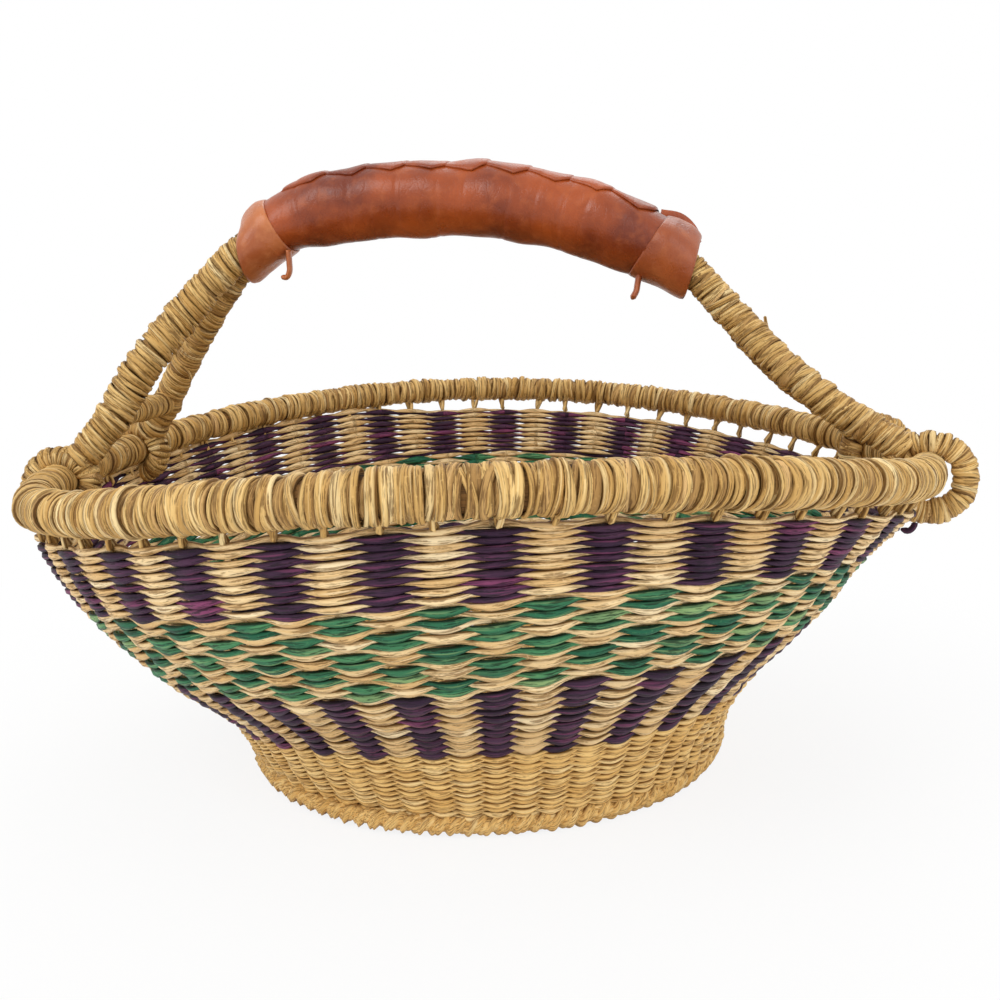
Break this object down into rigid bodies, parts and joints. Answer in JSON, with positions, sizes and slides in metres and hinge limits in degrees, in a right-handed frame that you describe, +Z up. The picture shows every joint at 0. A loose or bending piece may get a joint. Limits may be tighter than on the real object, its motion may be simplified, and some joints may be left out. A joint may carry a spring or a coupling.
{
  "type": "bolga basket",
  "caption": "Round woven grass basket on a braided foot, with a forked, leather-gripped handle looped round its bound rim.",
  "frame": {"origin": "bottom centre of the bounding box: the basket's middle, on the surface it stands on", "axes": "+X along the handle, from its left loops to its right; -Y is the side nearest the viewer; +Z up"},
  "size_m": [0.4195, 0.3946, 0.2642],
  "materials": {
    "bound_straw": "golden twisted grass, satin",
    "natural_grass": "pale undyed grass, satin",
    "purple_grass": "grass dyed dark purple, woven in stripes with undyed grass",
    "green_grass": "grass dyed green, woven in a checker with undyed grass",
    "tan_leather": "tan leather, wrinkled, semi-gloss",
    "collar_leather": "lighter tan leather, semi-gloss"
  },
  "bodies": {
    "basket": {"foot_braid": "natural_grass", "base_weave": "natural_grass", "foot_weave": "natural_grass", "lower_stripe_band": "purple_grass", "checker_band": "green_grass", "upper_stripe_band": "purple_grass", "stakes": "natural_grass", "rim_binding": "bound_straw"},
    "handle": {"front_cane": "natural_grass", "back_cane": "natural_grass", "left_front_leg": "bound_straw", "left_back_leg": "bound_straw", "right_front_leg": "bound_straw", "right_back_leg": "bound_straw", "left_front_loop": "bound_straw", "left_back_loop": "bound_straw", "right_front_loop": "bound_straw", "right_back_loop": "bound_straw", "left_crossbar": "bound_straw", "right_crossbar": "bound_straw", "grip_core": "natural_grass", "grip_sleeve": "tan_leather", "left_collar": "collar_leather", "right_collar": "collar_leather", "grip_lacing": "tan_leather", "left_tab": "collar_leather", "right_tab": "collar_leather", "back_tab": "collar_leather"}
  },
  "joints": [
    {"name": "handle_tilt", "type": "hinge", "parent": "basket", "child": "handle", "pos_m": [0, 0.0182, 0.12725], "axis": [1, 0, 0], "range_deg": [-1.5, 1.5]}
  ]
}
